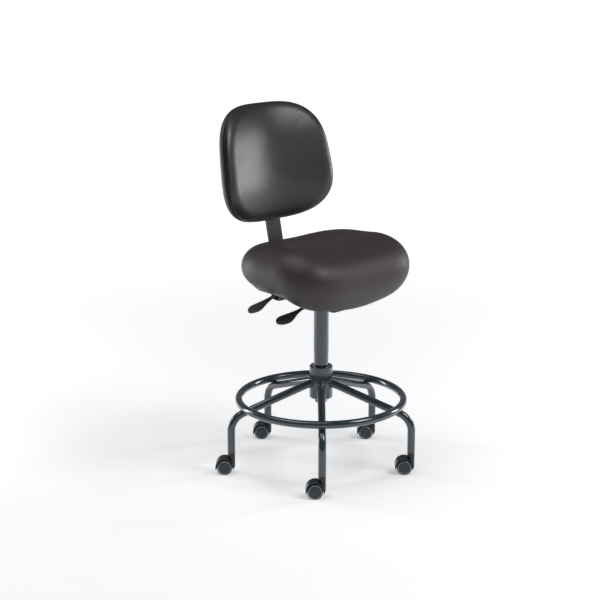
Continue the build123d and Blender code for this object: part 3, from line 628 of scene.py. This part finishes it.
def seat_surface(p, q, side):
    """Point of the seat cover: waterfall front, raised sides, bullnose edge all round."""
    half_x = (SEAT_HIGH.x - SEAT_LOW.x) / 2 + SEAT_PROUD
    half_y = (SEAT_HIGH.y - SEAT_LOW.y) / 2
    centre_y = (SEAT_HIGH.y + SEAT_LOW.y) / 2
    square = max(abs(p), abs(q))
    scale = 1 / max(square, SEAT_FLAT)
    u, v = disc_point(p * scale, q * scale)
    turn = math.pi / 2 * (1 - max(0.0, square - SEAT_FLAT) / (1 - SEAT_FLAT))
    base = seat_base(u, v, half_x, half_y)
    step = 1e-3
    along_x = seat_base(u + step, v, half_x, half_y) - base
    along_y = seat_base(u, v + step, half_x, half_y) - base
    normal = along_x.cross(along_y).normalized()
    if square < SEAT_FLAT:
        toward = normal * side
    else:
        angle = math.atan2(v, u)
        after = seat_base(math.cos(angle + step), math.sin(angle + step), half_x, half_y)
        before = seat_base(math.cos(angle - step), math.sin(angle - step), half_x, half_y)
        outward = (after - before).normalized().cross(normal).normalized()
        toward = outward * math.cos(turn) + normal * (side * math.sin(turn))
    across = (base.y / (half_y - SEAT_EDGE) + 1) / 2
    half = SEAT_HALF_FRONT + (SEAT_HALF_REAR - SEAT_HALF_FRONT) * across
    axes = (SEAT_EDGE, SEAT_EDGE, half)
    support = Vector([toward[n] * axes[n] ** 2 for n in range(3)])
    support /= math.sqrt(sum((toward[n] * axes[n]) ** 2 for n in range(3)))
    point = base + support
    if side == 1:
        point.z -= DISH_DEPTH * math.exp(-((point.x / DISH_W) ** 2) - ((point.y - DISH_Y) / DISH_D) ** 2)
    point.y += centre_y
    if side == -1:
        inside_x = smoothstep(BOARD_EDGE_X - abs(point.x), 0, BOARD_FADE)
        over_board = inside_x * smoothstep(point.y - BOARD_EDGE_Y, 0, BOARD_FADE)
        point.z += (SEAT_UNDER_Z - point.z) * over_board * smoothstep(1 - square, 0.2, 0.36)
        nose = smoothstep(-point.y, NOSE_START, NOSE_FULL) * math.exp(-((point.x / NOSE_W) ** 2))
        nose *= smoothstep(square, 0.3, 0.6) * min(1.0, 2 * math.sin(turn))
        point.z -= NOSE_SAG * nose
    return point


def make_seat(materials):
    """Seat cover, held where it is stapled to the board underneath."""
    points, faces = shell_grid(SEAT_CELLS, seat_surface)
    seat = mesh_object("seat_cover", points, faces, materials["seat_vinyl"])
    under = [v.index for v in seat.data.vertices if v.co.z < SEAT_UNDER_Z + 4 * PIN_MARGIN]
    inflate(seat, under, SEAT_CAP)
    subdivide(seat)
    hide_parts("seat_cushion")
    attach(seat, "seat")


def make_staples(materials):
    """Row of staples that holds the vinyl to the board, just inside the board's edge."""
    low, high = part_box("seat_board")
    half_x = (high.x - low.x) / 2 - STAPLE_INSET
    half_y = (high.y - low.y) / 2 - STAPLE_INSET
    middle = (low + high) / 2
    points = []
    faces = []
    for number in range(STAPLE_COUNT):
        angle = 2 * math.pi * number / STAPLE_COUNT
        radius = outline_radius(angle, STAPLE_ROW_POWER)
        centre = Vector((
            middle.x + half_x * radius * math.cos(angle),
            middle.y + half_y * radius * math.sin(angle),
            low.z - STAPLE_SINK,
        ))
        along = Vector((-half_x * math.sin(angle), half_y * math.cos(angle), 0)).normalized()
        across = Vector((-along.y, along.x, 0))
        half = STAPLE_LENGTH / 2
        arch = ((-half, STAPLE_LEG), (-half, -STAPLE_WIRE), (half, -STAPLE_WIRE), (half, STAPLE_LEG))
        first = len(points)
        for place, height in arch:
            inward = -math.copysign(STAPLE_WIRE, place)
            for spread, lift in ((-1, 0), (1, 0), (1, 1), (-1, 1)):
                point = centre + along * (place + inward * lift) + across * (STAPLE_HALF_W * spread)
                points.append(point + Vector((0, 0, height + STAPLE_THICKNESS * lift)))
        for part in range(3):
            a = first + part * 4
            for edge in range(4):
                after = (edge + 1) % 4
                faces.append([a + edge, a + after, a + 4 + after, a + 4 + edge])
        faces.append([first, first + 1, first + 2, first + 3])
        faces.append([first + 15, first + 14, first + 13, first + 12])
    staples = mesh_object("seat_staples", points, faces, materials["bright_steel"])
    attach(staples, "seat")


# ---------------------------------------------------------------- back
def back_point(u, v, offset):
    """Point of the wrapped backrest: across, up, and out toward the sitter from its middle surface."""
    slope = u / BACK_WRAP_R
    length = math.hypot(1, slope)
    across = u - offset * slope / length
    forward = u * u / (2 * BACK_WRAP_R) + offset / length
    return BACK_CENTRE + Vector((
        across,
        v * math.sin(BACK_LEAN) - forward * math.cos(BACK_LEAN),
        v * math.cos(BACK_LEAN) + forward * math.sin(BACK_LEAN),
    ))


def back_rim(angle, inset):
    """Outline point (across, up) of the backrest, moved in from its edge."""
    half_w = BACK_W / 2 - BACK_ROUND
    half_h = BACK_H / 2 - BACK_ROUND
    radius = outline_radius(angle, BACK_POWER)
    c = radius * math.cos(angle)
    s = radius * math.sin(angle)
    normal = Vector((
        math.copysign(abs(c) ** (BACK_POWER - 1), c) / half_w,
        math.copysign(abs(s) ** (BACK_POWER - 1), s) / half_h,
    )).normalized()
    u = half_w * c * (1 - BACK_TAPER * half_h * s / (BACK_H / 2))
    v = half_h * s
    return u + normal.x * (BACK_ROUND - inset), v + normal.y * (BACK_ROUND - inset)


def cushion_surface(p, q, side):
    """Point of the back cushion's closed cover, its edge rounded over to the front and rear faces."""
    reach = max(abs(p), abs(q))
    angle = math.atan2(*reversed(disc_point(p, q)))
    spread = min(1.0, reach / BACK_FLAT)
    turn = math.pi / 2 * (1 - max(0.0, reach - BACK_FLAT) / (1 - BACK_FLAT))
    u, v = back_rim(angle, CUSHION_ROUND * (1 - math.cos(turn)))
    u *= spread
    v *= spread
    face = cushion_front(u, v, reach) if side == 1 else cushion_rear(reach)
    return back_point(u, v, CUSHION_EDGE + (face - CUSHION_EDGE) * math.sin(turn))


def cushion_front(u, v, reach):
    """Offset of the front face: a crown, and a bulge for the small of the back."""
    crown = CUSHION_CROWN * (1 - reach ** 3)
    lumbar = LUMBAR_BULGE * math.exp(-((u / LUMBAR_W) ** 2) - ((v - LUMBAR_V) / LUMBAR_H) ** 2)
    return CUSHION_RIM + crown + lumbar


def cushion_rear(reach):
    """Offset of the rear face: on the board in the middle, lapped behind its edge at the rim."""
    return CUSHION_REAR - CUSHION_LAP * smoothstep(reach, 0.74, 0.84)


def make_back_cover(materials):
    """Back cushion's cover, held where it lies on the board."""
    points, faces = shell_grid(BACK_CELLS, cushion_surface)
    cover = mesh_object("back_cover", points, faces, materials["back_vinyl"])
    rear = []
    for v in cover.data.vertices:
        local = v.co - BACK_CENTRE
        forward = -local.y * math.cos(BACK_LEAN) + local.z * math.sin(BACK_LEAN)
        if forward - local.x ** 2 / (2 * BACK_WRAP_R) < CUSHION_REAR + PIN_MARGIN:
            rear.append(v.index)
    inflate(cover, rear, BACK_CAP)
    subdivide(cover)
    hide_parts("back_cushion")
    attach(cover, "backrest")


def near_upright(u, v):
    """1 where the upright enters the lower edge, 0 away from it."""
    return smoothstep(DIP_HALF_W - abs(u), 0, DIP_FADE) * smoothstep(-v, 0.1, 0.13)


def make_back_shell(materials):
    """Rear shell as a moulded tray, its rim dipped where the upright passes."""
    rings = 26
    spokes = 128
    points = []
    faces = []
    for inner in (False, True):
        for ring in range(rings + 1):
            t = ring / rings
            for spoke in range(spokes):
                angle = 2 * math.pi * spoke / spokes
                edge_turn = min(1.0, max(0.0, (t - SHELL_FLAT) / (1 - SHELL_FLAT))) * math.pi / 2
                wall = SHELL_WALL if inner else 0
                u, v = back_rim(angle, SHELL_ROUND * (1 - math.sin(edge_turn)) + wall)
                spread = min(1.0, t / SHELL_FLAT)
                u *= spread
                v *= spread
                rear = wall - SHELL_DEPTH - SHELL_CROWN * (1 - smoothstep(t, 0.1, 0.9))
                edge = SHELL_RIM - DIP_DEPTH * near_upright(u, v)
                offset = rear + (edge - rear) * (1 - math.cos(edge_turn))
                points.append(back_point(u, v, offset))
    layer = (rings + 1) * spokes
    for inner in (0, 1):
        for ring in range(1, rings):
            for spoke in range(spokes):
                after = (spoke + 1) % spokes
                a = inner * layer + ring * spokes
                b = a + spokes
                faces.append([a + spoke, a + after, b + after, b + spoke])
        hub = [inner * layer + spokes + spoke for spoke in range(spokes)]
        centre = len(points)
        points.append(points[inner * layer])
        for spoke in range(spokes):
            faces.append([centre, hub[spoke], hub[(spoke + 1) % spokes]])
    for spoke in range(spokes):
        after = (spoke + 1) % spokes
        a = rings * spokes
        b = layer + rings * spokes
        faces.append([a + spoke, a + after, b + after, b + spoke])
    shell = mesh_object("back_rear_shell", points, faces, materials["shell_plastic"])
    loose = bmesh.new()
    loose.from_mesh(shell.data)
    bmesh.ops.delete(loose, geom=[v for v in loose.verts if not v.link_faces], context="VERTS")
    loose.to_mesh(shell.data)
    loose.free()
    subdivide(shell)
    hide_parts("back_shell")
    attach(shell, "backrest")


def make_piping(materials):
    """Welt cord in the gap between cushion and shell, open where the upright passes; its near-black rubber
    is partly its own colour and partly painted shade for the shadowed gap.
    """
    path = []
    steps = 220
    for number in range(steps + 1):
        angle = WELT_GAP - math.pi / 2 + (2 * math.pi - 2 * WELT_GAP) * number / steps
        u, v = back_rim(angle, WELT_INSET)
        path.append(back_point(u, v, WELT_OFFSET))
    piping = tube("back_piping", path, WELT_R, materials["trim_rubber"])
    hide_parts("back_trim")
    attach(piping, "backrest")


# ---------------------------------------------------------------- tilt springs
def make_tilt_springs(materials):
    """Coil springs behind the tilt shaft, as one rigid mesh riding with the lift; in the chair they shorten
    as the seat tips back, here they keep their length.
    """
    low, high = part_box("tilt_springs")
    middle_y = (low.y + high.y) / 2
    foot = low.z + SPRING_WIRE_R
    rise = high.z - low.z - 2 * SPRING_WIRE_R
    steps = SPRING_TURNS * 28
    both = bmesh.new()
    for side in (-1, 1):
        centre_x = side * (high.x - SPRING_R - SPRING_WIRE_R)
        path = []
        for step in range(steps + 1):
            a = 2 * math.pi * SPRING_TURNS * step / steps
            path.append(Vector((
                centre_x + SPRING_R * math.cos(a),
                middle_y + SPRING_R * math.sin(a),
                foot + rise * step / steps,
            )))
        coil = tube(f"coil_{side}", path, SPRING_WIRE_R, materials["bright_steel"], sides=8)
        both.from_mesh(coil.data)
        bpy.data.objects.remove(coil)
    mesh = bpy.data.meshes.new("tilt_coils")
    both.to_mesh(mesh)
    both.free()
    mesh.materials.append(materials["bright_steel"])
    springs = link(bpy.data.objects.new("tilt_coils", mesh))
    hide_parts("tilt_springs")
    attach(springs, "lift")
    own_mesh(springs)


# ---------------------------------------------------------------- welds and casters
def leg_directions(number):
    """Outward and tangent directions of one leg, from its CAD box."""
    low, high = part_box(f"leg_{number}")
    centre = (low + high) / 2
    outward = Vector((centre.x, centre.y, 0)).normalized()
    return outward, Vector((-outward.y, outward.x, 0))


def hub_weld_path(along, tangent, upward):
    """Curve where a leg tube's surface meets the hub's."""
    root = Vector((0, 0, LEG_ROOT_Z))
    path = []
    steps = 72
    for step in range(steps):
        a = 2 * math.pi * step / steps
        rim = root + (tangent * math.cos(a) + upward * math.sin(a)) * TUBE_R
        travel = HUB_R
        for _ in range(6):
            spot = rim + along * travel
            travel += HUB_R - math.hypot(spot.x, spot.y)
        path.append(rim + along * travel)
    return path


def ring_weld_path(outward, along, tangent, upward):
    """Loop round the touching point of a leg and the foot ring, saddle shaped as the two tubes are."""
    contact = outward * RING_R + Vector((0, 0, RING_Z)) - upward * TUBE_R
    path = []
    steps = 56
    for step in range(steps):
        a = 2 * math.pi * step / steps
        saddle = WELD_REACH ** 2 * math.cos(2 * a) / (4 * TUBE_R)
        sideways = (along * math.cos(a) + tangent * math.sin(a)) * WELD_REACH
        path.append(contact + sideways + upward * saddle)
    return path


def make_welds(materials):
    """Weld beads where the legs meet the hub and where the foot ring crosses each leg."""
    slope = math.atan(LEG_SLOPE)
    for number in range(1, LEG_COUNT + 1):
        outward, tangent = leg_directions(number)
        along = outward * math.cos(slope) - Vector((0, 0, math.sin(slope)))
        upward = outward * math.sin(slope) + Vector((0, 0, math.cos(slope)))
        joins = (
            (f"hub_weld_{number}", hub_weld_path(along, tangent, upward), HUB_WELD_R, 24),
            (f"ring_weld_{number}", ring_weld_path(outward, along, tangent, upward), RING_WELD_R, 16),
        )
        for name, path, radius, drops in joins:
            bead = tube(name, path, radius, materials["weld"], closed=True, ripple=WELD_RIPPLE, waves=drops)
            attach(bead, "base")


def make_wheel_caps(materials):
    """Bright ring, a painted highlight for the glint round each wheel's rim, and a domed cap on the outer
    face of each caster wheel.
    """
    # radius, and height above the wheel's face
    ring = (
        (0.0196, -0.0012), (0.0198, 0.0004), (0.0202, 0.0008), (0.0207, 0.0008),
        (0.0211, 0.0004), (0.0212, -0.0012),
    )
    cap = (
        (0.0188, -0.0002), (0.0186, 0.0005), (0.0165, 0.0011), (0.0110, 0.0016),
        (0.0050, 0.0019), (0.0010, 0.0020),
    )
    for number in range(1, LEG_COUNT + 1):
        middles = {}
        for letter in "ab":
            low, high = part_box(f"wheel_{number}{letter}")
            middles[letter] = (low + high) / 2
        for letter, other in (("a", "b"), ("b", "a")):
            outward = (middles[letter] - middles[other]).normalized()
            face = middles[letter] + outward * WHEEL_HALF_WIDTH
            # the ring is a painted highlight for the glint on the wheel's rim
            for kind, profile, material in (("ring", ring, "painted_highlight_ring"), ("cap", cap, "wheel_plastic")):
                name = f"wheel_{kind}_{number}{letter}"
                piece = lathe(name, profile, face, outward, materials[material], kind == "ring")
                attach(piece, f"wheel_{number}{letter}")


# ---------------------------------------------------------------- assembly
materials = make_materials()
camera_right, camera_ahead = make_camera()
make_floor()
make_lights(camera_right, camera_ahead)
dress_cad_nodes(materials)
make_seat(materials)
make_back_cover(materials)
make_back_shell(materials)
make_piping(materials)
make_staples(materials)
make_tilt_springs(materials)
make_welds(materials)
make_wheel_caps(materials)
